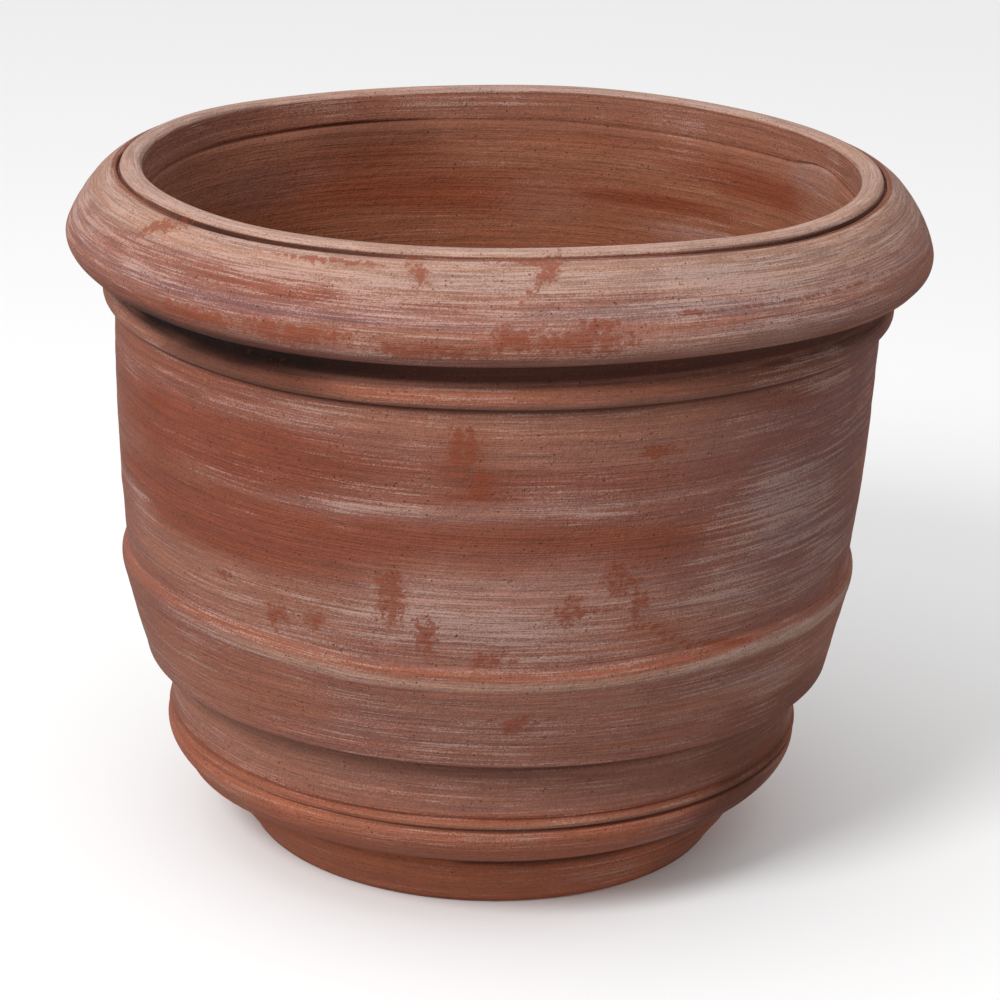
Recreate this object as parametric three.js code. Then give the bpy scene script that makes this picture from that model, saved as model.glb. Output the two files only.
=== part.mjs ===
// Hand-thrown terracotta garden pot, turned about the Z axis, in millimetres.
// One fired clay body: its mouldings are part of the wall, so it is one closed mesh.
// The origin is the centre of the foot's underside and +Z points up through the mouth.
import * as THREE from "three";

// Driving dimensions: radii are from the axis, heights are above the ground.
const SEGMENTS = 60;
const CURVE_STEPS = 3;
const foot = { radius: 170.5, edge: 3, flareRadius: 175, waistRadius: 184, waist: 22,
  hollowRadius: 188, hollow: 30, neckRadius: 190, neck: 40 };
const torus = { rootRadius: 199.5, root: 47.5, edgeRadius: 204.5, edge: 49.5, underPull: 11.5,
  underRise: 3.5, radius: 228, sideFall: 14, top: 78 };
const fillet = { axisRadius: 225.5, height: 83.5, radius: 3.5, step: 1 };
const cavetto = { radius: 226.5, waist: 225.5, top: 129 };
const belly = { under: 134.5, underRadius: 237, underPull: 12, underRise: 2.5, shoulderRadius: 253,
  shoulder: 165, radius: 261, top: 200 };
const cordon = { nose: 211.5, noseRadius: 262, seat: 214.5, seatRadius: 257.8 };
const wall = { lowRadius: 263.4, low: 270.5, fullRadius: 266.8, full: 331.5 };
const collar = { axisRadius: 268.5, height: 393, bulge: 6.8, halfHeight: 7.5, grooveDepth: 1 };
const roll = { under: 417.5, underRadius: 282, frontPull: 294, radius: 300, widest: 434,
  lowFall: 9, highRise: 10, topPull: 284, topFall: 7, seam: 480 };
const lip = { radius: 262, top: 485, mouth: 246.5, seamRadius: 263.5, seamDepth: 2, round: 6 };
const liner = { crease: 457, step: 2.5, radius: 245, fullRadius: 247, full: 380,
  lowRadius: 243, low: 250, shoulder: 165, shoulderRadius: 228 };
const bowl = { highRadius: 216, high: 118, lowRadius: 206, low: 76 };
const floor = { level: 28, flatRadius: 110, heelRadius: 140, turn: 48, turnRadius: 160 };
const drain = { radius: 15, edge: 1.5 };

// The foot flares upwards and tucks in under the torus moulding's lower edge.
function addFoot(path) {
  path.quadraticCurveTo(foot.radius, 0, foot.radius, foot.edge);
  path.quadraticCurveTo(foot.flareRadius, foot.waist / 2, foot.waistRadius, foot.waist);
  path.quadraticCurveTo(foot.hollowRadius, foot.hollow, foot.neckRadius, foot.neck);
  path.quadraticCurveTo(foot.neckRadius, torus.root, torus.rootRadius, torus.root);
}

// The torus leans out from its edge to full width, with a thin fillet bead seated on it.
function addBaseMouldings(path) {
  path.lineTo(torus.edgeRadius, torus.edge);
  path.bezierCurveTo(torus.edgeRadius + torus.underPull, torus.edge + torus.underRise,
    torus.radius, torus.top - torus.sideFall, torus.radius, torus.top);
  path.lineTo(fillet.axisRadius, fillet.height - fillet.radius);
  path.absarc(fillet.axisRadius, fillet.height, fillet.radius, -Math.PI / 2, Math.PI / 2);
}

function addCavetto(path) {
  path.lineTo(cavetto.radius, fillet.height + fillet.radius + fillet.step);
  const waistHeight = (fillet.height + cavetto.top) / 2;
  path.quadraticCurveTo(cavetto.waist, waistHeight, cavetto.radius, cavetto.top);
}

// The belly overhangs the cavetto and swells up to the cordon, a low bead with a hard upper seat.
function addBellyAndCordon(path) {
  path.quadraticCurveTo(cavetto.radius, belly.under, belly.underRadius, belly.under);
  path.bezierCurveTo(belly.underRadius + belly.underPull, belly.under + belly.underRise,
    belly.shoulderRadius, belly.shoulder, belly.radius, belly.top);
  path.quadraticCurveTo(cordon.noseRadius, cordon.nose, cordon.seatRadius, cordon.seat);
}

function addWall(path) {
  const top = collar.height - collar.halfHeight - collar.grooveDepth;
  path.bezierCurveTo(wall.lowRadius, wall.low, wall.fullRadius, wall.full, wall.fullRadius, top);
}

function addCollarBead(path) {
  path.lineTo(collar.axisRadius, collar.height - collar.halfHeight);
  path.absellipse(collar.axisRadius, collar.height, collar.bulge, collar.halfHeight,
    -Math.PI / 2, Math.PI / 2);
}

// A cove runs up behind the roll's lower edge, and the roll closes on the lip at a fine seam.
function addRimRoll(path) {
  path.quadraticCurveTo(collar.axisRadius, roll.under, roll.underRadius, roll.under);
  path.bezierCurveTo(roll.frontPull, roll.under, roll.radius, roll.widest - roll.lowFall,
    roll.radius, roll.widest);
  path.bezierCurveTo(roll.radius, roll.widest + roll.highRise, roll.topPull, roll.seam - roll.topFall,
    lip.seamRadius + lip.seamDepth, roll.seam);
  path.lineTo(lip.seamRadius, roll.seam - lip.seamDepth);
}

function addLip(path) {
  path.lineTo(lip.radius, lip.top - lip.round / 2);
  path.quadraticCurveTo(lip.radius, lip.top, lip.radius - lip.round, lip.top);
  path.lineTo(lip.mouth + lip.round, lip.top);
  path.quadraticCurveTo(lip.mouth, lip.top, lip.mouth, lip.top - lip.round);
}

// Inside, the lip's inner face ends at a shallow crease and the wall runs down into a bowl.
function addInside(path) {
  path.lineTo(lip.mouth, liner.crease);
  path.lineTo(liner.radius, liner.crease - liner.step);
  path.bezierCurveTo(liner.fullRadius, liner.full, liner.lowRadius, liner.low,
    liner.shoulderRadius, liner.shoulder);
  path.bezierCurveTo(bowl.highRadius, bowl.high, bowl.lowRadius, bowl.low, floor.turnRadius, floor.turn);
  path.quadraticCurveTo(floor.heelRadius, floor.level, floor.flatRadius, floor.level);
}

function addDrain(path) {
  path.lineTo(drain.radius + drain.edge, floor.level);
  path.lineTo(drain.radius, floor.level - drain.edge);
  path.lineTo(drain.radius, drain.edge);
  path.lineTo(drain.radius + drain.edge, 0);
}

function potOutline() {
  const path = new THREE.Path();
  path.moveTo(foot.radius - foot.edge, 0);
  addFoot(path);
  addBaseMouldings(path);
  addCavetto(path);
  addBellyAndCordon(path);
  addWall(path);
  addCollarBead(path);
  addRimRoll(path);
  addLip(path);
  addInside(path);
  addDrain(path);
  path.closePath();
  return path.getPoints(CURVE_STEPS);
}

function potGeometry() {
  const geometry = new THREE.LatheGeometry(potOutline(), SEGMENTS);
  // The lathe turns about Y; this stands it up along Z.
  geometry.rotateX(Math.PI / 2);
  return geometry;
}

const terracotta = new THREE.MeshStandardMaterial({
  name: "terracotta", color: 0xa8705a, roughness: 0.92, metalness: 0,
});

const pot = new THREE.Mesh(potGeometry(), terracotta);
pot.name = "pot";

const model = new THREE.Group();
model.name = "terracotta_pot";
model.add(pot);

export default model;
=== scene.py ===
import math

import bpy
import numpy as np
from mathutils import Matrix, Vector


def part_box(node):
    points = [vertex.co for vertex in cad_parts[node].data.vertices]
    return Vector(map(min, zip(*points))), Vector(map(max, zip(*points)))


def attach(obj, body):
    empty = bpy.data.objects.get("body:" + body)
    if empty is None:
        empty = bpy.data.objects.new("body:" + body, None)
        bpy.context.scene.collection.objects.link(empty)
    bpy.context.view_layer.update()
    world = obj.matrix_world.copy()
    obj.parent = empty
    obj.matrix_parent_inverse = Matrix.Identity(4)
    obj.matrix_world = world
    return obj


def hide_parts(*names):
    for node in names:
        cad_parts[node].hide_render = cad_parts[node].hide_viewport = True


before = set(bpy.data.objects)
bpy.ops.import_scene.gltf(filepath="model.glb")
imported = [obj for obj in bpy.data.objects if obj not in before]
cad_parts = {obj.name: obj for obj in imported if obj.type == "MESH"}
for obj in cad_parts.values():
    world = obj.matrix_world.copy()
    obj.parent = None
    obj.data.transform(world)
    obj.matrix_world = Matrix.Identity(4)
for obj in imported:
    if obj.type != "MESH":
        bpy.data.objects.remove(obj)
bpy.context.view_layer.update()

pot_low, pot_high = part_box("pot")

# The outline is about 599 wide. Counting it as a little wider leaves room inside the packed
# box for the wander that is added to it.
DRAWN_WIDTH = 603.0
MM = (pot_high[0] - pot_low[0]) / DRAWN_WIDTH
# Columns of the skin round the pot.
TURNS = 220


# ---------------------------------------------------------------- small number tools
NOISE_ROWS = 512
OCTAVE_WEIGHT = 0.55


def ease(t):
    return t * t * (3.0 - 2.0 * t)


def smooth(edge0, edge1, x):
    return ease(np.clip((x - edge0) / (edge1 - edge0), 0.0, 1.0))


def bump(centre, half_width, x):
    """A smooth hill, 1 at its centre and 0 beyond its half width."""
    return 1.0 - smooth(0.0, half_width, np.abs(x - centre))


def window(rise, fall, x):
    """1 between two soft ends, each given as where it starts and where it is complete."""
    return smooth(*rise, x) * smooth(*fall, x)


def turn_gap(azimuth, centre):
    """Signed angle in degrees from a centre azimuth, the short way round."""
    return (azimuth - centre + 180.0) % 360.0 - 180.0


def lattice_noise(x, y, period, seed):
    """Smooth value noise from -1 to 1 that repeats in x after a whole number of cells."""
    table = np.random.default_rng(seed).uniform(-1.0, 1.0, (period, NOISE_ROWS))
    column, row = np.floor(x).astype(int), np.floor(y).astype(int)
    across, upward = ease(x - column), ease(y - row)
    left, right = column % period, (column + 1) % period
    low, high = row % NOISE_ROWS, (row + 1) % NOISE_ROWS
    bottom = table[left, low] * (1 - across) + table[right, low] * across
    top = table[left, high] * (1 - across) + table[right, high] * across
    return bottom * (1 - upward) + top * upward


def around(azimuth, along, cells, pitch, seed, octaves):
    """Noise round the pot: cells per turn, and a pitch in millimetres along the outline."""
    total, weight, size = 0.0, 0.0, 1.0
    for octave in range(octaves):
        period = cells * 2 ** octave
        x = (azimuth / 360.0 % 1.0) * period
        total = total + size * lattice_noise(x, along / pitch * 2 ** octave, period, seed + octave)
        weight += size
        size *= OCTAVE_WEIGHT
    return total / weight


# ---------------------------------------------------------------- the outline
# Radii and heights in millimetres that more than one point of the outline shares.
DRAIN_RADIUS = 15.0
DRAIN_ROUND_BELOW = 1.8
DRAIN_ROUND_ABOVE = 2.5
FLOOR_LEVEL = 28.0
TORUS_UNDER = 47.8
BELLY_UNDER = 133.3
ROLL_UNDER = 417.6
SEAM_FLOOR = 477.6
LIP_RADIUS = 262.3
LIP_TOP = 484.2
MOUTH_RADIUS = 246.8


class Outline:
    """Points of the section (radius, height) in millimetres.

    The last value of each line and curve is the spacing of its points.
    """

    def __init__(self, radius, height):
        self.points = [(radius, height)]

    def curve(self, controls, spacing):
        """A Bezier curve from the last point; the controls end with the curve's end point."""
        frames = np.vstack([np.array(self.points[-1]), controls])
        rough = np.linalg.norm(np.diff(frames, axis=0), axis=1).sum()
        count = max(1, int(round(rough / spacing)))
        degree = len(frames) - 1
        for t in np.linspace(0.0, 1.0, count + 1)[1:]:
            weights = [math.comb(degree, k) * t ** k * (1 - t) ** (degree - k)
                       for k in range(degree + 1)]
            self.points.append(tuple(np.dot(weights, frames)))

    def line(self, radius, height, spacing):
        self.curve([(radius, height)], spacing)

    def bead(self, centre, across, half_height, first, last, count):
        """Part of an ellipse, from a first to a last angle in degrees."""
        for angle in np.radians(np.linspace(first, last, count)):
            self.points.append((centre[0] + across * math.cos(angle),
                                centre[1] + half_height * math.sin(angle)))


def underside(path):
    path.line(164.0, 0.0, 9.0)
    path.curve([(169.5, 0.0), (170.5, 3.5)], 1.6)


def foot_wall(path):
    path.curve([(175.0, 11.0), (184.0, 22.0)], 2.2)
    path.curve([(188.5, 31.0), (190.5, 41.0)], 2.2)
    path.curve([(191.5, TORUS_UNDER), (197.5, 48.6)], 1.4)


def base_mouldings(path):
    path.line(203.6, TORUS_UNDER, 1.6)
    path.curve([(206.6, 47.6), (208.2, 50.2)], 0.9)
    path.curve([(217.0, 55.0), (228.5, 66.0), (227.9, 76.6)], 1.9)
    path.curve([(227.7, 78.8), (225.4, 79.0)], 0.8)
    path.line(224.2, 80.6, 0.9)
    path.bead((225.0, 84.0), 3.4, 3.0, -72.0, 78.0, 8)
    path.line(225.0, 88.0, 0.9)
    path.line(226.4, 89.6, 0.9)


def cavetto(path):
    path.curve([(224.6, 107.0), (226.0, 121.5), (233.4, 130.6)], 2.2)
    path.curve([(234.4, 131.8), (234.2, 133.1)], 0.7)


def belly(path):
    path.line(242.6, BELLY_UNDER, 1.4)
    path.curve([(244.6, BELLY_UNDER), (245.2, 135.4)], 0.6)
    path.curve([(248.8, 150.0), (254.0, 172.0), (260.3, 196.5)], 2.6)


def cordon(path):
    path.curve([(261.8, 202.5), (260.6, 206.0)], 1.5)
    path.curve([(259.3, 210.5), (257.4, 212.8)], 1.4)
    path.line(257.6, 215.5, 1.3)


def wall(path):
    path.curve([(263.4, 270.5), (266.6, 330.0), (266.5, 381.5)], 4.2)


def collar(path):
    path.curve([(266.0, 384.4), (267.0, 385.2)], 0.9)
    path.line(269.0, 385.8, 1.0)
    path.bead((268.6, 392.8), 6.6, 7.2, -74.0, 80.0, 11)
    path.line(268.4, 401.0, 1.5)


def cove(path):
    path.curve([(267.0, 416.0), (279.0, ROLL_UNDER)], 1.9)


def rim_roll(path):
    path.line(287.0, ROLL_UNDER, 2.0)
    path.curve([(291.8, ROLL_UNDER), (293.8, 420.8)], 1.1)
    path.curve([(299.6, 425.6), (299.4, 434.0)], 1.9)
    path.curve([(298.4, 444.0), (284.5, 472.5), (267.0, 480.2)], 2.1)


def seam(path):
    path.curve([(264.6, 481.1), (264.2, 479.3)], 0.8)
    path.curve([(264.0, SEAM_FLOOR), (263.2, SEAM_FLOOR)], 0.7)
    path.curve([(LIP_RADIUS, SEAM_FLOOR), (LIP_RADIUS, 479.2)], 0.7)


def lip(path):
    path.curve([(LIP_RADIUS, 483.8), (257.0, LIP_TOP)], 1.3)
    path.line(252.0, LIP_TOP, 1.6)
    path.curve([(247.6, 484.0), (MOUTH_RADIUS, 479.0)], 1.3)


def inside(path):
    path.line(246.4, 459.6, 2.6)
    path.curve([(MOUTH_RADIUS, 459.0), (MOUTH_RADIUS, 457.2), (245.9, 456.2)], 0.7)
    path.curve([(MOUTH_RADIUS, 400.0), (246.5, 352.0)], 4.0)
    path.curve([(243.5, 250.0), (228.0, 165.0)], 8.5)
    path.curve([(216.0, 118.0), (206.0, 76.0), (160.0, 48.0)], 7.0)
    path.curve([(140.0, FLOOR_LEVEL), (110.0, FLOOR_LEVEL)], 7.0)


def drain(path):
    path.line(DRAIN_RADIUS + DRAIN_ROUND_ABOVE, FLOOR_LEVEL, 9.0)
    path.curve([(DRAIN_RADIUS, FLOOR_LEVEL), (DRAIN_RADIUS, FLOOR_LEVEL - DRAIN_ROUND_ABOVE)], 1.5)
    path.line(DRAIN_RADIUS, DRAIN_ROUND_BELOW, 5.0)
    path.curve([(DRAIN_RADIUS, 0.0), (DRAIN_RADIUS + DRAIN_ROUND_BELOW, 0.0)], 1.3)


STRETCHES = (underside, foot_wall, base_mouldings, cavetto, belly, cordon, wall, collar, cove,
             rim_roll, seam, lip, inside, drain)


def draw_outline():
    """The closed outline's points, and the first and last point of each named stretch."""
    path = Outline(DRAIN_RADIUS + DRAIN_ROUND_BELOW, 0.0)
    marks = {}
    for stretch in STRETCHES:
        first = len(path.points) - 1
        stretch(path)
        marks[stretch.__name__] = (first, len(path.points) - 1)
    return np.array(path.points[:-1]), marks


# ---------------------------------------------------------------- the skin
class Skin:
    """The turned surface as grids: a row for each outline point, a column for each turn step."""

    def __init__(self):
        points, self.marks = draw_outline()
        step = np.linalg.norm(np.diff(points, axis=0, append=points[:1]), axis=1)
        self.along = np.concatenate([[0.0], np.cumsum(step)[:-1]])[:, None]
        self.length = step.sum()
        # The seam of the texture map is at the back of the pot.
        self.azimuth = (np.arange(TURNS) * 360.0 / TURNS - 180.0)[None, :]
        self.radius = np.repeat(points[:, :1], TURNS, axis=1)
        self.height = np.repeat(points[:, 1:], TURNS, axis=1)
        self.drawn_height = points[:, 1:]
        self.shift_x = np.zeros_like(self.drawn_height)
        tangent = np.roll(points, -1, axis=0) - np.roll(points, 1, axis=0)
        tangent /= np.linalg.norm(tangent, axis=1)[:, None]
        self.out_radius = tangent[:, 1:]
        self.out_height = -tangent[:, :1]

    def within(self, *stretches):
        """1 on the rows of the named stretches of the outline, 0 elsewhere."""
        mask = np.zeros_like(self.along)
        for stretch in stretches:
            first, last = self.marks[stretch]
            mask[first:last] = 1.0
        return mask

    def swell(self, amount):
        """Moves the surface outwards along its own normal, in millimetres."""
        self.radius = self.radius + amount * self.out_radius
        self.height = self.height + amount * self.out_height


def round_wave(azimuth, knots):
    """A smooth closed curve round the pot through (azimuth, value) knots."""
    knots = sorted(knots)
    where = np.array([k[0] for k in knots], float)
    value = np.array([k[1] for k in knots], float)
    gap = np.diff(where, append=where[0] + 360.0)
    slope = (np.roll(value, -1) - np.roll(value, 1)) / (gap + np.roll(gap, 1))
    from_first = (azimuth - where[0]) % 360.0
    index = np.searchsorted(where - where[0], from_first, side="right") - 1
    follow = (index + 1) % len(knots)
    t = (from_first - (where[index] - where[0])) / gap[index]
    start = (2 * t ** 3 - 3 * t ** 2 + 1) * value[index]
    leave = (t ** 3 - 2 * t ** 2 + t) * gap[index] * slope[index]
    end = (3 * t ** 2 - 2 * t ** 3) * value[follow]
    arrive = (t ** 3 - t ** 2) * gap[index] * slope[follow]
    return start + leave + end + arrive


# Knots of the curves round the pot: azimuth in degrees, value in millimetres.
# How the lip, the roll's lower edge, the collar and the cordon rise and fall.
LIP_WAVE = [(-170, 0.2), (-145, -1.0), (-120, 0.2), (-90, -1.6), (-60, -2.4), (-38, -3.5),
            (-15, -1.8), (18, 1.0), (50, -1.4), (90, 0.4), (130, 1.8), (165, 2.8)]
ROLL_WAVE = [(-140, 1.5), (-90, 4.6), (-62, 1.4), (-38, -2.4), (-18, -1.6), (5, 1.6), (32, 3.8),
             (60, 1.5), (90, 0.2), (150, 0.5)]
COLLAR_WAVE = [(-130, 1.0), (-75, 1.6), (-50, 0.6), (-28, -1.8), (0, -0.4), (40, 1.6), (80, 0.6),
               (150, -0.8)]
CORDON_WAVE = [(-150, -1.0), (-90, 0.0), (-52, 1.2), (-30, -1.0), (-16, -4.4), (12, -4.2),
               (26, -2.2), (45, 0.8), (80, 0.0), (140, 1.4)]
# How far the seam below the lip is sunk, the torus is cut back underneath and the belly is
# undercut. A value below zero adds clay.
SEAM_DEPTH = [(-170, 0.4), (-110, 0.5), (-62, 0.6), (-46, 2.0), (-18, 1.5), (-4, 0.1), (12, 0.3),
              (34, 1.2), (56, 1.5), (76, 0.5), (120, 0.8)]
TORUS_CUT = [(-175, 2.0), (-130, 0.0), (-105, -6.0), (-78, -11.0), (-58, -8.0), (-42, -2.6),
             (-30, 0.4), (-18, 1.2), (10, 1.6), (45, 1.4), (80, -1.0), (130, 1.5)]
OVERHANG_CUT = [(-170, 3.0), (-110, -1.0), (-80, -7.0), (-58, -4.0), (-40, 0.8), (-15, 2.0),
                (0, 3.6), (35, 7.0), (70, 5.0), (125, 3.0)]
# How the crease inside the lip rises and falls, and how deep it is.
CREASE_WAVE = [(0, -2.0), (60, 1.0), (98, 1.5), (108, 5.6), (114, 5.0), (121, 0.6), (150, -0.4),
               (180, 0.8), (-150, 2.4), (-120, 0.0), (-95, -1.4), (-50, 1.0)]
CREASE_DEPTH = [(0, 0.2), (80, 0.6), (112, 1.2), (135, 0.7), (178, 0.1), (-165, 0.4), (-150, 2.6),
                (-128, 1.4), (-105, 0.3), (-50, 0.6)]
# How much of the thin fillet bead is smeared back into the torus, as a share from 0 to 1.
FILLET_SMEAR = [(-170, 0.2), (-100, 0.7), (-60, 0.75), (-35, 0.45), (-10, 0.15), (60, 0.0),
                (120, 0.3)]

# Where each of these acts: the height of its centre and how far it reaches up and down.
COLLAR_REACH = (393.0, 24.0)
ROLL_REACH = (417.0, 42.0)
CORDON_REACH = (203.0, 34.0)
TORUS_REACH = (44.0, 13.0)
OVERHANG_REACH = (129.5, 6.0)
CREASE_REACH = (458.0, 9.0)
CREASE_LINE_REACH = (458.0, 1.9)
# Where the lip's wave and the fillet's smear begin, and where they are complete.
LIP_RISE = (425.0, 470.0)
SMEAR_RISE = (76.0, 77.4)
# The base rises and falls once round the pot: reach, height, and turn in radians.
BASE_REACH = (115.0, 60.0)
BASE_LIFT = 0.9
BASE_PHASE = 0.9
# The face that the smeared fillet joins: radius at a height, and how fast it leans in.
SMEAR_RADIUS = 227.6
SMEAR_HEIGHT = 77.0
SMEAR_LEAN = 0.1
# How far the rim, the cordon and the base stand to the right of the foot.
RIM_SHIFT, RIM_SHIFT_RISE = 1.2, (330.0, 410.0)
CORDON_SHIFT, CORDON_SHIFT_REACH = -1.0, (200.0, 90.0)
BASE_SHIFT, BASE_SHIFT_REACH = -3.2, (72.0, 60.0)
# Unevenness: a share of the radius, then depths in millimetres. The foot's edge stays true.
WANDER_SHARE = 0.0028
RIPPLE_DEPTH = 0.34
RING_DEPTH = 0.13
ABOVE_FOOT = (2.0, 40.0)


def raise_mouldings(skin):
    """Lifts and lowers the mouldings as they go round, and sinks the seam under the lip."""
    turn, z = skin.azimuth, skin.drawn_height
    lifted = (bump(*COLLAR_REACH, z) * round_wave(turn, COLLAR_WAVE)
              + bump(*ROLL_REACH, z) * round_wave(turn, ROLL_WAVE)
              + smooth(*LIP_RISE, z) * round_wave(turn, LIP_WAVE)
              + bump(*CORDON_REACH, z) * round_wave(turn, CORDON_WAVE)
              + bump(*BASE_REACH, z) * BASE_LIFT * np.cos(np.radians(turn) + BASE_PHASE))
    skin.height = skin.height + lifted - skin.within("seam") * round_wave(turn, SEAM_DEPTH)


def cut_base(skin):
    """Cuts back the torus and the belly underneath, and smears the fillet bead."""
    turn, z = skin.azimuth, skin.drawn_height
    undercut = bump(*TORUS_REACH, z) * skin.within("foot_wall", "base_mouldings")
    overhang = bump(*OVERHANG_REACH, z) * skin.within("cavetto")
    skin.radius = skin.radius - undercut * round_wave(turn, TORUS_CUT)
    skin.radius = skin.radius - overhang * round_wave(turn, OVERHANG_CUT)
    smear = (round_wave(turn, FILLET_SMEAR) * skin.within("base_mouldings")
             * smooth(*SMEAR_RISE, z))
    face = SMEAR_RADIUS - SMEAR_LEAN * (z - SMEAR_HEIGHT)
    skin.radius = skin.radius + (face - skin.radius) * np.clip(smear, 0.0, 1.0)


def cut_inner_crease(skin):
    """Moves the crease inside the lip up and down, and deepens it into the wall."""
    turn, z = skin.azimuth, skin.drawn_height
    inside_rows = skin.within("inside")
    skin.height = skin.height + bump(*CREASE_REACH, z) * inside_rows * round_wave(turn, CREASE_WAVE)
    line = bump(*CREASE_LINE_REACH, z) * inside_rows
    skin.radius = skin.radius + line * round_wave(turn, CREASE_DEPTH)


def add_unevenness(skin):
    """Pushes the pot out of round and out of true, and adds ripples and throwing rings."""
    turn, z = skin.azimuth, skin.drawn_height
    above_foot = smooth(*ABOVE_FOOT, z)
    wander = around(turn, z, cells=5, pitch=120.0, seed=11, octaves=2)
    skin.radius = skin.radius * (1.0 + WANDER_SHARE * wander * above_foot)
    skin.shift_x = (RIM_SHIFT * smooth(*RIM_SHIFT_RISE, z) + CORDON_SHIFT * bump(*CORDON_SHIFT_REACH, z)
                    + BASE_SHIFT * bump(*BASE_SHIFT_REACH, z))
    thrown = skin.within("cavetto", "belly", "wall", "rim_roll", "inside") * above_foot
    ripples = around(turn, skin.along, cells=9, pitch=17.0, seed=23, octaves=2)
    skin.swell(RIPPLE_DEPTH * ripples * thrown)
    rings = around(turn, skin.along, cells=4, pitch=5.2, seed=41, octaves=1)
    skin.swell(RING_DEPTH * rings * thrown)


def shape_by_hand(skin):
    """The slow wander that the potter's hands leave in a large thrown pot."""
    raise_mouldings(skin)
    cut_base(skin)
    cut_inner_crease(skin)
    add_unevenness(skin)


def build_mesh(skin):
    a = np.radians(skin.azimuth)
    x = skin.radius * np.sin(a) + skin.shift_x
    y = -skin.radius * np.cos(a)
    rows, turns = skin.radius.shape
    vertices = np.stack([x, y, skin.height], axis=2).reshape(-1, 3) * MM
    row, turn = np.meshgrid(np.arange(rows), np.arange(turns), indexing="ij")
    next_row, next_turn = (row + 1) % rows, (turn + 1) % turns
    corners = [(row, turn), (row, next_turn), (next_row, next_turn), (next_row, turn)]
    faces = np.stack([r * turns + t for r, t in corners], axis=2).reshape(-1, 4)
    mesh = bpy.data.meshes.new("pot_skin")
    mesh.from_pydata(vertices.tolist(), [], faces.tolist())
    mesh.shade_smooth()
    # The map unrolls the skin: across for the turn, up for the way along the outline.
    u0, v0 = turn / turns, skin.along / skin.length + 0 * turn
    u1 = u0 + 1.0 / turns
    v1 = np.roll(v0, -1, axis=0)
    v1[-1] = 1.0
    uv = np.stack([u0, v0, u1, v0, u1, v1, u0, v1], axis=2).reshape(-1)
    layer = mesh.uv_layers.new(name="OFBake")
    layer.data.foreach_set("uv", uv.astype(np.float32))
    return mesh


# ---------------------------------------------------------------- the colours of the clay
def screen_tone(red, green, blue):
    """A colour named by its 0 to 255 screen values, as linear light."""
    value = np.array([red, green, blue]) / 255.0
    return np.where(value <= 0.04045, value / 12.92, ((value + 0.055) / 1.055) ** 2.4)


CLAY = {
    "mauve": screen_tone(137, 90, 77),
    "brick": screen_tone(125, 68, 49),
    "ochre": screen_tone(130, 71, 41),
    "tan": screen_tone(151, 106, 88),
    "pale": screen_tone(158, 119, 107),
    "pink": screen_tone(157, 125, 109),
    "lip": screen_tone(168, 137, 122),
    "orange": screen_tone(148, 88, 64),
    "amber": screen_tone(166, 96, 68),
    "rust": screen_tone(124, 62, 38),
    # A dark brown: a stain inside, and painted shade where it darkens the right of the outer face.
    "umber_and_shade": screen_tone(96, 56, 42),
    # A dark brown that stands only for painted shade.
    "painted_shade": screen_tone(70, 36, 26),
    # A near black that stands only for painted deep shade.
    "painted_deep_shade": screen_tone(34, 14, 8),
    "earth": screen_tone(146, 97, 71),
    "plum": screen_tone(124, 86, 84),
    "grey": screen_tone(146, 122, 120),
}

# How much more, or less, salt haze each clay shows.
DRYNESS = {"pale": 0.22, "grey": 0.30, "plum": 0.14, "pink": 0.16, "tan": 0.04, "brick": -0.22,
           "rust": -0.20, "ochre": -0.12, "umber_and_shade": -0.15, "painted_shade": -0.80, "painted_deep_shade": -1.20,
           "orange": -0.08}
CHALK = screen_tone(180, 152, 142)
IRON = screen_tone(126, 60, 36)
# Where a mark and a patch start to fade and where they end, counted in their half sizes.
MARK_EDGE = (0.0, 1.7)
PATCH_EDGE = (0.45, 1.35)
# How far noise pushes the edge of a patch, in half sizes, and of a band, in its softness.
PATCH_RAGGED = 0.5
EDGE_DRIFT = 0.8
# The haze before any clay is laid, and the range it is kept to.
FIRST_HAZE = 0.14
HAZE_RANGE = (-0.8, 1.0)


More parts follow.
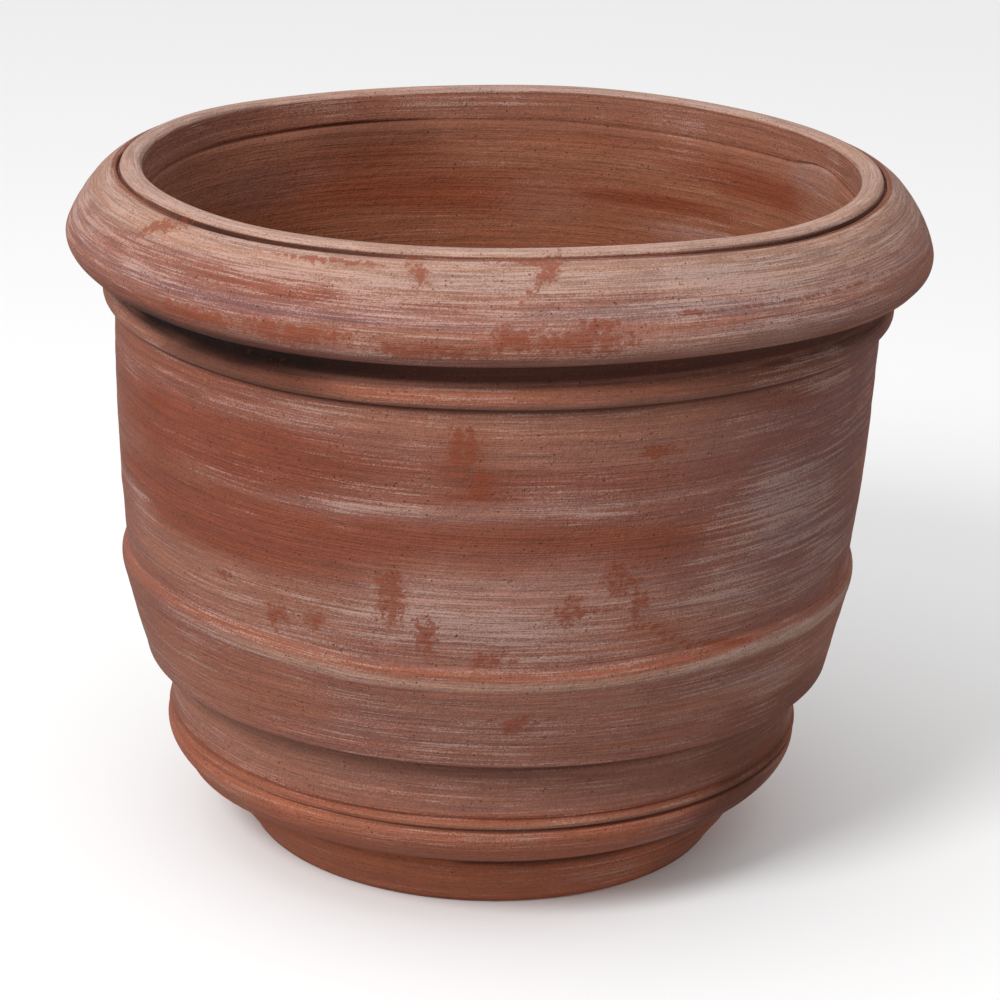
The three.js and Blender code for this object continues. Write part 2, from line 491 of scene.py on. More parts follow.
class Paint:
    """The clay's colour on the skin's grid, laid on in soft ragged patches and bands."""

    def __init__(self, skin):
        self.turn, self.z, self.along = skin.azimuth, skin.drawn_height, skin.along
        self.colour = np.zeros(skin.radius.shape + (3,)) + CLAY["mauve"]
        self.haze = np.full(skin.radius.shape, FIRST_HAZE)
        self.cloud = around(self.turn, self.along, cells=22, pitch=26.0, seed=71, octaves=4)
        self.drift = around(self.turn, self.along, cells=9, pitch=16.0, seed=83, octaves=3)
        self.inner = skin.within("inside", "drain")
        self.outer = 1.0 - self.inner

    def side(self, inner):
        return self.inner if inner else self.outer

    def band(self, low, high, soft):
        """1 between two heights on the outer face, with soft wandering edges."""
        z = self.z + soft * EDGE_DRIFT * self.drift
        above_low = smooth(low - soft, low + soft, z)
        return above_low * (1.0 - smooth(high - soft, high + soft, z)) * self.outer

    def reach(self, azimuth, height, half_turn, half_height, lean):
        """Distance from a point, where 1 is the half size; lean is its rise in mm for a degree."""
        gap = turn_gap(self.turn, azimuth)
        return np.hypot(gap / half_turn, (self.z - height - lean * gap) / half_height)

    def patch(self, azimuth, height, half_turn, half_height, lean=0.0, inner=False):
        """A broad patch with a ragged edge."""
        reach = self.reach(azimuth, height, half_turn, half_height, lean)
        return (1.0 - smooth(*PATCH_EDGE, reach + PATCH_RAGGED * self.cloud)) * self.side(inner)

    def mark(self, azimuth, height, half_turn, half_height, lean):
        """A small outer mark that is solid in the middle and thins out towards its edge."""
        reach = self.reach(azimuth, height, half_turn, half_height, lean)
        return (1.0 - smooth(*MARK_EDGE, reach)) * self.outer

    def lay(self, name, amount):
        """Covers the clay with a tone by an amount from 0 to 1."""
        amount = np.broadcast_to(np.clip(amount, 0.0, 1.0), self.haze.shape)
        self.colour += (CLAY[name] - self.colour) * amount[..., None]
        self.haze += DRYNESS.get(name, 0.0) * amount

    def lay_bands(self, bands, masks):
        for name, strength, low, high, soft, mask in bands:
            self.lay(name, strength * masks[mask] * self.band(low, high, soft))

    def lay_patches(self, patches, inner=False):
        for name, azimuth, height, half_turn, half_height, lean, strength in patches:
            patch = self.patch(azimuth, height, half_turn, half_height, lean, inner)
            self.lay(name, strength * patch)


# Bands on the outer face in the order they are laid: clay, strength, low edge, high edge,
# softness of the edges, and the mask that says where round the pot they lie.
OUTER_BANDS = [
    ("brick", 0.55, 214.0, 380.0, 8.0, "red fields"),
    ("tan", 0.55, 92.0, 395.0, 8.0, "tan fields"),
    ("orange", 1.0, -5.0, 44.0, 4.0, "all round"),
    ("amber", 0.6, -5.0, 44.0, 4.0, "all round"),
    ("rust", 0.7, -5.0, 4.0, 2.0, "all round"),
    ("amber", 0.70, 44.0, 82.0, 3.0, "all round"),
    ("tan", 0.45, 50.0, 92.0, 4.0, "crumbs"),
    ("orange", 0.8, 80.0, 89.0, 1.5, "all round"),
    # A painted highlight on the fillet bead, from the front to the right.
    ("tan", 0.6, 81.6, 86.0, 0.6, "fillet highlight"),
    ("tan", 0.4, 94.0, 128.0, 5.0, "all round"),
    ("orange", 0.75, 206.6, 210.4, 0.8, "all round"),
    ("brick", 0.35, 371.0, 383.0, 3.0, "all round"),
    ("tan", 0.5, 388.0, 401.0, 1.6, "all round"),
    # A painted highlight on the front of the collar's bead.
    ("amber", 0.6, 389.5, 399.0, 1.2, "collar highlight"),
    # Shade painted in the cove and below the collar.
    ("painted_shade", 0.8, 402.0, 419.2, 0.8, "all round"),
    ("painted_shade", 0.85, 383.2, 386.2, 0.5, "all round"),
    # Shade painted under the belly and between the base mouldings, with a rusty line above them.
    ("painted_deep_shade", 1.0, 130.6, 133.9, 0.4, "belly shade"),
    ("painted_shade", 0.5, 126.6, 131.0, 1.2, "cavetto shade"),
    ("rust", 0.6, 87.4, 90.2, 0.5, "all round"),
    ("painted_shade", 0.6, 78.6, 81.0, 0.4, "fillet shade"),
    # The rim roll, paler towards the lip.
    ("tan", 0.5, 432.0, 446.0, 5.0, "all round"),
    ("pale", 0.8, 446.0, 500.0, 6.0, "all round"),
    ("pink", 0.85, 460.0, 500.0, 7.0, "all round"),
]

# A pale painted highlight on the nose of the cordon, laid over the patches.
CORDON_BANDS = [
    ("pink", 0.7, 197.2, 204.5, 1.0, "cordon front"),
    ("lip", 0.9, 197.0, 204.5, 0.9, "cordon right"),
]

# Patches on the outer face: clay, azimuth, height, half width in degrees, half height, lean, strength.
OUTER_PATCHES = [
    ("brick", -40, 332, 34, 25, 0.05, 1.0),
    ("brick", -46, 286, 36, 26, 0.05, 0.95),
    ("brick", 6, 290, 34, 18, 0.15, 0.8),
    ("brick", 18, 345, 26, 16, 0.0, 0.5),
    ("brick", -3, 346, 6, 26, 0.0, 0.6),
    ("plum", 54, 330, 22, 50, 0.0, 0.7),
    ("plum", 54, 255, 24, 40, 0.0, 0.6),
    # The right edge of the wall is laid darker, partly its own tone and partly painted shade.
    ("umber_and_shade", 68, 300, 12, 80, 0.0, 0.25),
    ("mauve", 34, 345, 20, 28, 0.0, 0.4),
    ("pale", 2, 317, 34, 5, 0.2, 0.6),
    ("pale", 0, 250, 24, 30, 0.0, 0.85),
    ("tan", -32, 232, 30, 22, 0.0, 0.7),
    ("tan", 0, 374, 44, 10, 0.0, 0.65),
    ("brick", -44, 374, 20, 12, 0.0, 0.45),
    ("brick", -28, 266, 16, 10, 0.05, 0.6),
    ("tan", 14, 356, 26, 11, 0.0, 0.6),
    ("tan", 0, 182, 34, 12, 0.0, 0.6),
    # The right of the belly and of the foot are laid darker, partly their own tone and partly painted shade.
    ("umber_and_shade", 56, 146, 16, 16, 0.0, 0.5),
    ("umber_and_shade", 58, 20, 18, 26, 0.0, 0.5),
    ("grey", 47, 300, 10, 34, 0.0, 0.25),
    ("grey", 46, 176, 12, 9, -0.6, 0.35),
    ("orange", 24, 228, 8, 8, -1.6, 0.5),
    ("mauve", -36, 458, 40, 9, 0.0, 0.9),
    ("brick", -18, 457, 22, 5, 0.03, 0.55),
    ("tan", 2, 460, 22, 5, 0.0, 0.6),
    # A painted highlight on the cordon at the right.
    ("pale", 52, 202, 20, 7, 0.0, 0.8),
    ("tan", 30, 226, 22, 12, 0.0, 0.5),
    ("pink", 40, 244, 9, 16, 0.0, 0.25),
    ("plum", -34, 446, 34, 6, 0.04, 0.65),
    ("grey", 34, 453, 28, 5, 0.03, 0.5),
    ("rust", -50, 428, 16, 7, 0.0, 0.4),
    ("rust", -31, 424, 12, 9, 0.0, 0.45),
    ("pale", 24, 430, 30, 10, 0.0, 0.9),
    ("pale", -20, 428, 20, 6, 0.0, 0.5),
    ("orange", 4, 431, 12, 7, 0.0, 0.5),
    ("grey", 44, 436, 18, 6, 0.1, 0.4),
    ("tan", 4, 158, 34, 22, 0.0, 0.35),
    ("tan", -46, 112, 30, 20, 0.0, 0.4),
    # The right of the base is laid darker, partly its own tone and partly painted shade.
    ("plum", 50, 60, 22, 24, 0.0, 0.5),
    ("umber_and_shade", 54, 66, 16, 22, 0.0, 0.8),
    ("umber_and_shade", 60, 86, 16, 14, 0.0, 0.75),
    ("umber_and_shade", 58, 112, 22, 22, 0.0, 0.55),
    ("umber_and_shade", 66, 60, 14, 22, 0.0, 0.6),
    # Painted shade in the cove at the front left and on the collar's bead at both sides.
    ("painted_deep_shade", -44, 410, 36, 14, 0.0, 1.0),
    ("umber_and_shade", 50, 394, 24, 10, 0.0, 0.6),
    ("painted_shade", -34, 393, 18, 8, 0.0, 0.6),
    ("plum", 64, 370, 26, 26, 0.0, 0.5),
    ("orange", -40, 168, 24, 22, 0.0, 0.4),
    ("tan", -54, 160, 12, 26, 0.0, 0.5),
    ("brick", 110, 300, 26, 46, 0.1, 0.6),
    ("pale", 150, 250, 28, 40, 0.1, 0.6),
    ("brick", -165, 330, 30, 24, -0.1, 0.6),
    ("pale", -120, 262, 26, 34, 0.1, 0.6),
    ("plum", -98, 345, 20, 26, 0.0, 0.4),
    ("rust", 165, 170, 20, 18, 0.0, 0.4),
    ("tan", -130, 172, 30, 18, 0.0, 0.5),
]

# Rust runs and tide marks on the outer face: azimuth, height, half width, half height, lean.
RUST_MARKS = [
    (-31.5, 229, 2.2, 11, 0.0), (-25.5, 231, 1.6, 8, 0.0), (-13.5, 255, 2.4, 22, 0.0),
    (-8.5, 229, 2.0, 16, 0.0), (-42, 245, 1.6, 4, 0.0), (0.5, 218, 3.0, 5, 0.0), (11.5, 250, 2.4, 13, 0.0),
    (15, 249, 5.0, 3, 0.0), (3, 170, 3.2, 1.7, -2.6), (7.5, 168, 3.6, 1.5, 2.2),
    (18.5, 268, 2.2, 12, -2.0), (21.5, 250, 1.9, 18, -1.5), (27, 226, 5.0, 4, -2.4), (37, 212, 7.0, 3, -0.7),
    (-4, 358, 2.8, 18, -2.0), (-1.5, 334, 2.0, 14, -3.0), (23.5, 354, 3.6, 6, 0.0), (5, 170, 2.0, 6, 2.5),
    (-57, 348, 4.0, 7, 1.0), (-52, 474, 5.0, 5, 1.6), (-25, 433, 8.0, 7, 0.0), (-40, 433, 8.0, 5, 0.0),
    (2, 440, 3.0, 8, 0.0), (10, 436, 8.0, 9, 0.0), (-8, 430, 8.0, 6, 0.0), (12, 446, 3.0, 4, 0.0),
    (34, 450.5, 26.0, 1.3, 0.02), (-22, 476, 9.0, 1.6, 0.0), (6, 474, 2.4, 7, 3.0),
    (-10, 472, 2.0, 8, -4.0), (5, 479, 6.0, 1.6, 0.0),
    (70, 222, 6.0, 9, 0.8), (64, 96, 8.0, 5, 0.0), (118, 300, 5.0, 22, -1.5), (140, 240, 8.0, 8, 0.0),
    (-150, 300, 3.0, 26, 0.5), (-105, 236, 3.0, 14, 0.0), (175, 226, 9.0, 8, 0.0), (-128, 436, 12.0, 7, 0.0),
]

# Damp stains inside: clay, azimuth, height, half width, half height, lean, strength.
INNER_PATCHES = [
    ("rust", 132, 432, 20, 13, 0.0, 0.85),
    ("rust", 152, 406, 22, 8, 0.0, 0.85),
    ("umber_and_shade", -155, 447, 12, 22, 0.0, 0.45),
    ("rust", -150, 422, 26, 20, 0.0, 0.6),
    ("rust", -172, 402, 26, 14, 0.0, 0.65),
    ("tan", 172, 398, 9, 22, 0.0, 0.35),
    ("grey", 112, 452, 8, 9, 0.0, 0.45),
    ("pale", 141, 386, 14, 12, 0.0, 0.6),
    ("tan", 108, 430, 9, 30, 0.0, 0.6),
    ("plum", -134, 418, 12, 16, 0.0, 0.3),
    ("tan", -118, 436, 26, 30, 0.0, 0.45),
    ("rust", -60, 430, 24, 18, 0.0, 0.5),
    ("rust", 20, 420, 30, 22, 0.0, 0.6),
    ("grey", -40, 400, 26, 30, 0.0, 0.4),
]

# Salt haze on the outer face: strength, azimuth, height, half width, half height, lean.
HAZE_PATCHES = [
    (0.22, 46, 280, 18, 70, 0.0),
    (0.05, -35, 172, 20, 26, 0.0),
    (0.20, -4, 243, 32, 24, 0.0),
    (0.14, 0, 318, 34, 6, 0.2),
]

# Shade painted on the foot's top, under the torus: heights in millimetres.
UNDER_TORUS_LOW, UNDER_TORUS_DEEPER, UNDER_TORUS_SOFT = 47.6, 11.0, 0.8
UNDER_TORUS_TOP = (47.4, 48.6)
# Heights over which the seam's shade ends, and its strength for a seam depth in millimetres.
SEAM_SHADE_TOP = (480.2, 481.2)
SEAM_FULL_SHADE_DEPTH = 2.4
SEAM_LEAST_SHADE = 0.15
# Inside, heights over which the browner clay and the ochre tinge come in, from none to full.
INNER_LOWER = (476.0, 425.0)
INNER_LOWER_DRIFT = 14.0
INNER_OCHRE = (430.0, 390.0)
# Salt haze: how much the clouds and the roll add, and how much the inner face takes away.
CLOUD_HAZE = 0.36
ROLL_HAZE, ROLL_HAZE_BAND = 0.12, (436.0, 470.0, 8.0)
INNER_HAZE, INNER_HAZE_RISE = -0.14, (476.0, 450.0)
# Slow waves of the throwing lines on the wall: millimetres, waves in a turn, start in radians.
SLOW_WAVES = [(2.6, 1, 0.6), (1.6, 2, 2.0)]
WALL_RISE, WALL_FALL = (214.0, 260.0), (360.0, 385.0)
# How strong the throwing lines are: on most of the pot, added on the roll, and added inside.
RIBS, ROLL_RIBS, INNER_RIBS = 1.0, 0.35, -0.45
ROLL_RIBS_BAND = (425.0, 500.0, 6.0)


def outer_masks(paint):
    """Where round the pot the outer bands lie; pairs of azimuths are soft ends."""
    turn = paint.turn
    field = around(turn, paint.along, cells=6, pitch=46.0, seed=101, octaves=4)
    shaded = window((-58.0, -34.0), (100.0, 80.0), turn)
    return {
        "all round": 1.0,
        "red fields": smooth(0.05, 0.5, field),
        "tan fields": smooth(0.05, 0.45, -field),
        "crumbs": smooth(0.0, 0.5, paint.cloud),
        # The masks from here on place painted highlights and painted shade.
        "fillet highlight": window((-30.0, 6.0), (84.0, 44.0), turn),
        "collar highlight": bump(-10.0, 56.0, turn),
        "belly shade": 0.3 + 0.6 * shaded,
        "cavetto shade": smooth(0.0, 34.0, turn) * shaded,
        "fillet shade": smooth(-40.0, 10.0, turn) * shaded,
        "cordon front": window((-60.0, -30.0), (88.0, 70.0), turn),
        "cordon right": window((20.0, 42.0), (80.0, 66.0), turn),
    }


def shade_under_torus(paint):
    """A dark wedge that starts at the front left and is widest from the front to the right."""
    low = UNDER_TORUS_LOW - UNDER_TORUS_DEEPER * smooth(-44.0, 12.0, paint.turn)
    wedge = (smooth(low - UNDER_TORUS_SOFT, low + UNDER_TORUS_SOFT, paint.z)
             * (1.0 - smooth(*UNDER_TORUS_TOP, paint.z)) * paint.outer)
    paint.lay("painted_shade", 0.85 * wedge * window((-46.0, -40.0), (88.0, 64.0), paint.turn))


def paint_lip_and_seam(paint, skin):
    paint.lay("lip", 0.9 * skin.within("lip"))
    depth = round_wave(paint.turn, SEAM_DEPTH) / SEAM_FULL_SHADE_DEPTH
    in_seam = skin.within("seam", "lip") * (1.0 - smooth(*SEAM_SHADE_TOP, paint.z)) * paint.outer
    paint.lay("rust", 0.8 * in_seam)
    # Painted shade in the sunk seam, darker where the seam is deeper.
    paint.lay("painted_deep_shade", 0.9 * in_seam * np.clip(depth, SEAM_LEAST_SHADE, 1.0))


def paint_inside(paint):
    """The inner face is browner, with an ochre tinge and rust stains lower down."""
    inner = paint.inner
    lower = smooth(*INNER_LOWER, paint.z + INNER_LOWER_DRIFT * paint.cloud)
    paint.lay("earth", inner * (0.35 + 0.5 * lower))
    paint.lay("amber", 0.12 * inner * lower)
    paint.lay("ochre", 0.40 * inner * smooth(*INNER_OCHRE, paint.z))
    stains = around(paint.turn, paint.along, cells=9, pitch=30.0, seed=131, octaves=4)
    paint.lay("rust", 0.55 * smooth(0.0, 0.6, stains) * inner * lower)
    paint.lay_patches(INNER_PATCHES, inner=True)


def salt_haze(paint):
    """Salt gathers on the roll and in a few broad patches, and less on the inner face."""
    haze = paint.haze + CLOUD_HAZE * paint.cloud + ROLL_HAZE * paint.band(*ROLL_HAZE_BAND)
    haze = haze + INNER_HAZE * paint.inner * smooth(*INNER_HAZE_RISE, paint.z)
    for strength, *place in HAZE_PATCHES:
        haze = haze + strength * paint.patch(*place)
    return np.clip(haze, *HAZE_RANGE)


def throwing_path(paint):
    """Metres along the outline, which the lines follow, with a slow wave on the wall."""
    turn = np.radians(paint.turn)
    slow_wave = sum(height * np.sin(waves * turn + start) for height, waves, start in SLOW_WAVES)
    on_wall = smooth(*WALL_RISE, paint.z) * (1.0 - smooth(*WALL_FALL, paint.z))
    return (paint.along + slow_wave * on_wall) * MM


def paint_clay(skin):
    """What each vertex stores for the material: its tone, haze, stain and throwing lines."""
    paint = Paint(skin)
    masks = outer_masks(paint)
    paint.lay_bands(OUTER_BANDS, masks)
    shade_under_torus(paint)
    paint_lip_and_seam(paint, skin)
    paint.lay_patches(OUTER_PATCHES)
    paint.lay_bands(CORDON_BANDS, masks)
    paint_inside(paint)
    stain = np.max([paint.mark(*place) for place in RUST_MARKS], axis=0)
    # Throwing lines are strongest on the roll and faint inside, where the slip was wiped smooth.
    ribs = RIBS + ROLL_RIBS * paint.band(*ROLL_RIBS_BAND) + INNER_RIBS * paint.inner
    opaque = np.ones(paint.colour.shape[:2] + (1,))
    return {"tone": np.concatenate([paint.colour, opaque], axis=2), "haze": salt_haze(paint),
            "stain": stain, "throw": throwing_path(paint), "ribs": ribs}


def store(mesh, name, values):
    kind, field = ("FLOAT_COLOR", "color") if values.ndim == 3 else ("FLOAT", "value")
    layer = mesh.attributes.new(name, kind, "POINT")
    layer.data.foreach_set(field, np.ascontiguousarray(values, dtype=np.float32).reshape(-1))


class Graph:
    """Short calls that build the nodes of a material or a world."""

    def __init__(self, owner):
        self.tree = owner.node_tree

    def node(self, kind, **settings):
        made = self.tree.nodes.new(kind)
        for name, value in settings.items():
            setattr(made, name, value)
        return made

    def feed(self, socket, value):
        if isinstance(value, bpy.types.NodeSocket):
            self.tree.links.new(value, socket)
        else:
            socket.default_value = value

    def feed_all(self, made, values):
        """Feeds the node's first inputs in order, and returns its first output."""
        for socket, value in zip(made.inputs, values):
            self.feed(socket, value)
        return made.outputs[0]

    def attribute(self, name, output="Fac"):
        return self.node("ShaderNodeAttribute", attribute_name=name).outputs[output]

    def axes(self, vector):
        made = self.node("ShaderNodeSeparateXYZ")
        self.feed(made.inputs[0], vector)
        return made.outputs

    def vector(self, x, y, z):
        return self.feed_all(self.node("ShaderNodeCombineXYZ"), (x, y, z))

    def math(self, kind, first, second):
        return self.feed_all(self.node("ShaderNodeMath", operation=kind), (first, second))

    def total(self, terms):
        """The sum of (value, weight) terms."""
        result = 0.0
        for value, weight in terms:
            result = self.math("ADD", result, self.math("MULTIPLY", value, weight))
        return result

    def step(self, value, low, high, to_low=0.0, to_high=1.0, shape="SMOOTHSTEP"):
        made = self.node("ShaderNodeMapRange", interpolation_type=shape)
        return self.feed_all(made, (value, low, high, to_low, to_high))

    def noise(self, vector, scale, detail, roughness):
        made = self.node("ShaderNodeTexNoise")
        for name, item in (("Vector", vector), ("Scale", scale), ("Detail", detail),
                           ("Roughness", roughness)):
            self.feed(made.inputs[name], item)
        return made.outputs["Fac"]

    def cells(self, vector, scale):
        made = self.node("ShaderNodeTexVoronoi", feature="F1")
        self.feed(made.inputs["Vector"], vector)
        self.feed(made.inputs["Scale"], scale)
        return made.outputs["Distance"]

    def mix(self, kind, amount, first, second):
        """Blends two colours; a colour is a socket or three linear values."""
        made = self.node("ShaderNodeMix", data_type="RGBA", blend_type=kind)
        for name, item in (("Factor_Float", amount), ("A_Color", first), ("B_Color", second)):
            socket = next(s for s in made.inputs if s.identifier == name)
            if not isinstance(item, (bpy.types.NodeSocket, float)):
                item = (*item, 1.0)
            self.feed(socket, item)
        return next(s for s in made.outputs if s.identifier == "Result_Color")


# Noise drawn out round the pot: line length and pitch in metres, detail, where the noise
# starts, and the two values between which a line fades in.
LINES = {
    "fine": (0.038, 0.0011, 2.0, 0.0, 0.32, 0.68),
    "medium": (0.120, 0.0042, 2.0, 7.0, 0.30, 0.70),
    "broad": (0.260, 0.0200, 3.0, 19.0, 0.30, 0.70),
    "veins": (0.210, 0.0030, 3.0, 31.0, 0.52, 0.74),
    "tint": (0.170, 0.0070, 3.0, 43.0, 0.36, 0.64),
    "streak": (0.100, 0.0021, 3.0, 57.0, 0.38, 0.64),
}
LINE_ROUGHNESS = 0.6
# Round noise: cells in a metre, detail, roughness, and the two values between which it fades in.
GRAINS = {
    "clouds": (15.0, 4.0, 0.6, 0.30, 0.70),
    "mottle": (85.0, 5.0, 0.7, 0.30, 0.70),
    "crumb": (260.0, 3.0, 0.7, 0.30, 0.70),
    "grit": (900.0, 1.0, 0.6, 0.28, 0.72),
    "pitted": (75.0, 1.0, 0.5, 0.50, 0.60),
}
PIT_CELLS = 230.0
PIT_EDGE = (0.20, 0.08)

# What each look is summed from: the weight of each layer, where "flat" is 1 everywhere.
SHADE = {"fine": 0.24, "medium": 0.10, "broad": 0.06, "mottle": 0.08, "grit": 0.28, "crumb": 0.12,
         "clouds": 0.05, "flat": 0.535}
HAZE_COVER = {"painted haze": 0.80, "clouds": 0.22, "medium": 0.16, "broad": 0.10}
HAZE_SPECKS = {"fine": 0.36, "streak": 0.42, "grit": 0.36, "cover": 1.0}
STAIN_SPECKS = {"painted stain": 1.0, "mottle": 0.46, "crumb": 0.72, "fine": 0.28, "streak": 0.16,
                "grit": 0.40}
ROUGHNESS = {"fine": 0.08, "haze": 0.08, "mottle": 0.08, "flat": 0.78}
RELIEF = {"fine": 0.22, "medium": 0.42, "mottle": 0.35, "crumb": 0.25, "grit": 0.16, "pits": -0.7}
# Where haze and stain begin and are complete, and how strong each then is.
HAZE_STEP = (1.00, 1.52, 0.0, 0.60)
STAIN_STEP = (1.48, 1.74, 0.0, 0.78)

# Tints that the clay's tone is multiplied by, and how much of the last three shows.
RICHER = (0.99, 0.94, 0.90)
COOL = (0.86, 0.88, 0.98)
WARM = (1.03, 0.93, 0.86)
REDDER = (0.86, 0.68, 0.62)
IN_PITS = (0.30, 0.22, 0.18)
TINT_SHARE = 0.55
VEIN_SHARE = 0.5
PIT_SHARE = 0.7
SHEEN = 0.25
BUMP_STRENGTH = 0.75
BUMP_METRES = 0.0012


def clay_layers(graph):
    """Every line, grain and painted attribute that the clay is made of, by name."""
    place = graph.node("ShaderNodeTexCoord").outputs["Object"]
    x, y, _ = graph.axes(place)
    throw = graph.attribute("throw")
    layers = {"flat": 1.0, "ribs": graph.attribute("ribs"),
              "painted haze": graph.attribute("haze"), "painted stain": graph.attribute("stain")}
    for name, (length, pitch, detail, start, low, high) in LINES.items():
        round_x = graph.math("MULTIPLY", x, 1.0 / length)
        round_y = graph.math("ADD", graph.math("MULTIPLY", y, 1.0 / length), start)
        spot = graph.vector(round_x, round_y, graph.math("MULTIPLY", throw, 1.0 / pitch))
        layers[name] = graph.step(graph.noise(spot, 1.0, detail, LINE_ROUGHNESS), low, high)
    for name, (scale, detail, roughness, low, high) in GRAINS.items():
        layers[name] = graph.step(graph.noise(place, scale, detail, roughness), low, high)
    # The ribs strengthen or weaken the fine lines about their middle value.
    layers["fine"] = graph.total([(0.5, 1.0), (graph.math("SUBTRACT", layers["fine"], 0.5),
                                               layers["ribs"])])
    pits = graph.step(graph.cells(place, PIT_CELLS), *PIT_EDGE)
    layers["pits"] = graph.math("MULTIPLY", pits, layers["pitted"])
    return layers


def clay_tone(graph, layers):
    """The painted tone with cool and warm stretches and redder veins."""
    tone = graph.mix("MULTIPLY", 1.0, graph.attribute("tone", "Color"), RICHER)
    cool = graph.mix("MULTIPLY", 1.0, tone, COOL)
    warm = graph.mix("MULTIPLY", 1.0, tone, WARM)
    tinted = graph.mix("MIX", layers["tint"], cool, warm)
    tone = graph.mix("MIX", graph.math("MULTIPLY", layers["ribs"], TINT_SHARE), tone, tinted)
    redder = graph.mix("MULTIPLY", 1.0, tone, REDDER)
    ribbed = graph.math("MULTIPLY", layers["ribs"], VEIN_SHARE)
    return graph.mix("MIX", graph.math("MULTIPLY", layers["veins"], ribbed), tone, redder)


def clay_material():
    """Fired clay: throwing lines, salt haze, rust stains, pores and grit over the painted tones."""
    material = bpy.data.materials.new("terracotta_clay")
    material.use_nodes = True
    graph = Graph(material)
    shader = material.node_tree.nodes["Principled BSDF"]
    layers = clay_layers(graph)

    def blend(weights):
        return graph.total([(layers[name], weight) for name, weight in weights.items()])

    shade = blend(SHADE)
    clay = graph.mix("MULTIPLY", 1.0, clay_tone(graph, layers), graph.vector(shade, shade, shade))
    # Salt haze sits on the ridges between the throwing lines, as dry specks and short dashes.
    layers["cover"] = blend(HAZE_COVER)
    layers["haze"] = graph.step(blend(HAZE_SPECKS), *HAZE_STEP)
    clay = graph.mix("MIX", layers["haze"], clay, tuple(CHALK))
    clay = graph.mix("MIX", graph.step(blend(STAIN_SPECKS), *STAIN_STEP), clay, tuple(IRON))
    in_pits = graph.math("MULTIPLY", layers["pits"], PIT_SHARE)
    graph.feed(shader.inputs["Base Color"], graph.mix("MULTIPLY", in_pits, clay, IN_PITS))
    graph.feed(shader.inputs["Roughness"], blend(ROUGHNESS))
    graph.feed(shader.inputs["Specular IOR Level"], SHEEN)

    bumps = graph.node("ShaderNodeBump")
    graph.feed(bumps.inputs["Strength"], BUMP_STRENGTH)
    graph.feed(bumps.inputs["Distance"], BUMP_METRES)
    graph.feed(bumps.inputs["Height"], blend(RELIEF))
    graph.feed(shader.inputs["Normal"], bumps.outputs[0])
    return material


def add_object(name, data):
    made = bpy.data.objects.new(name, data)
    bpy.context.collection.objects.link(made)
    return made


def make_pot():
    skin = Skin()
    shape_by_hand(skin)
    mesh = build_mesh(skin)
    for name, values in paint_clay(skin).items():
        store(mesh, name, values)
    piece = add_object("pot_body", mesh)
    mesh.materials.append(clay_material())
    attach(piece, "root")
    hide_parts("pot")


# ---------------------------------------------------------------- studio
# The camera: its place in drawn millimetres, its angles, its lens and sensor in millimetres,
# and how far it sees in metres.
VIEW_DISTANCE = 2054.5
EYE_HEIGHT = 937.5
LOOK_DOWN = math.radians(18.87)
TURN_RIGHT = math.radians(0.18)
TILT = math.radians(1.67)
LENS = 109.05
SENSOR_WIDTH = 36.0
CLIP_END = 60.0
# The studio in metres: half the floor's width, and the key light's place, width and aim.
FLOOR_REACH = 24.0
KEY_PLACE = (-1.5, -2.1, 2.35)
KEY_WIDTH = 1.2
KEY_AIM = (0.0, 0.0, 290.0 * MM)
KEY_WATTS = 76.0
FLOOR_TONE = (0.88, 0.88, 0.88, 1.0)
FLOOR_ROUGHNESS = 0.95
# The sky's strength low down and overhead, the upward parts of a direction between which it
# changes, and what it is multiplied by at the far left and right.
GROUND_GLOW = 0.46
SKY_GLOW = 1.12
SKY_FADE = (-0.25, 1.0)
LEFT_GLOW = 1.10
RIGHT_GLOW = 0.74


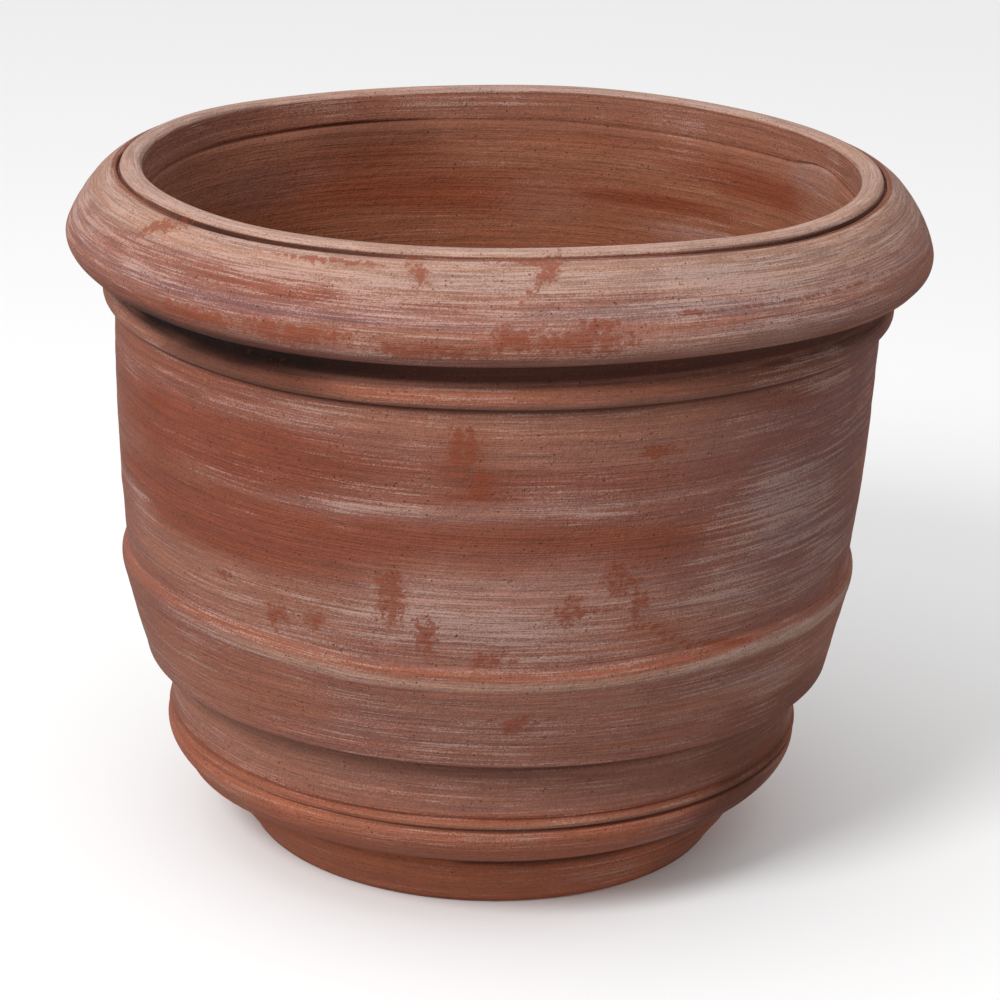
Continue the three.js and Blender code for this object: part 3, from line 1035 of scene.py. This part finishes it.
def make_camera():
    """Stands in front of the pot, a little above it, with the small tilt of a hand-held camera."""
    data = bpy.data.cameras.new("camera")
    data.lens = LENS
    data.sensor_width = SENSOR_WIDTH
    data.clip_end = CLIP_END
    camera = add_object("camera", data)
    forward = Vector((math.sin(TURN_RIGHT) * math.cos(LOOK_DOWN),
                      math.cos(TURN_RIGHT) * math.cos(LOOK_DOWN), -math.sin(LOOK_DOWN)))
    level = Vector((math.cos(TURN_RIGHT), -math.sin(TURN_RIGHT), 0.0))
    upright = level.cross(forward)
    right = level * math.cos(TILT) + upright * math.sin(TILT)
    up = upright * math.cos(TILT) - level * math.sin(TILT)
    turn = Matrix((right, up, -forward)).transposed().to_4x4()
    place = Vector((0.0, -VIEW_DISTANCE * MM, EYE_HEIGHT * MM))
    camera.matrix_world = Matrix.Translation(place) @ turn
    bpy.context.scene.camera = camera


def paper_material():
    paper = bpy.data.materials.new("studio_paper")
    paper.use_nodes = True
    shader = paper.node_tree.nodes["Principled BSDF"]
    shader.inputs["Base Color"].default_value = FLOOR_TONE
    shader.inputs["Roughness"].default_value = FLOOR_ROUGHNESS
    shader.inputs["Specular IOR Level"].default_value = 0.0
    return paper


def make_floor():
    mesh = bpy.data.meshes.new("studio_floor")
    corners = [(x * FLOOR_REACH, y * FLOOR_REACH, 0) for x, y in ((-1, -1), (1, -1), (1, 1), (-1, 1))]
    mesh.from_pydata(corners, [], [(0, 1, 2, 3)])
    floor = add_object("studio_floor", mesh)
    mesh.materials.append(paper_material())
    # The clay is lit by the sky and the key alone, as over a dark ground.
    floor.visible_diffuse = False


def make_sky():
    """A soft overhead sky that fades towards the ground and is dimmer on the right."""
    world = bpy.data.worlds.new("studio_sky")
    world.use_nodes = True
    graph = Graph(world)
    sky = world.node_tree.nodes["Background"]
    x, _, z = graph.axes(graph.node("ShaderNodeTexCoord").outputs["Generated"])
    upward = graph.step(z, *SKY_FADE, GROUND_GLOW, SKY_GLOW)
    sideways = graph.step(x, -1.0, 1.0, LEFT_GLOW, RIGHT_GLOW, shape="LINEAR")
    graph.feed(sky.inputs["Strength"], graph.math("MULTIPLY", upward, sideways))
    graph.feed(sky.inputs["Color"], (1.0, 1.0, 1.0, 1.0))
    bpy.context.scene.world = world


def make_key_light():
    """One large soft light at the front left, above the pot."""
    data = bpy.data.lights.new("key_light", "AREA")
    data.shape = "DISK"
    data.size = KEY_WIDTH
    data.energy = KEY_WATTS
    lamp = add_object("key_light", data)
    lamp.location = KEY_PLACE
    lamp.rotation_euler = (Vector(KEY_AIM) - Vector(KEY_PLACE)).to_track_quat("-Z", "Y").to_euler()


bpy.context.scene.view_settings.view_transform = "Standard"
make_camera()
make_pot()
make_floor()
make_sky()
make_key_light()
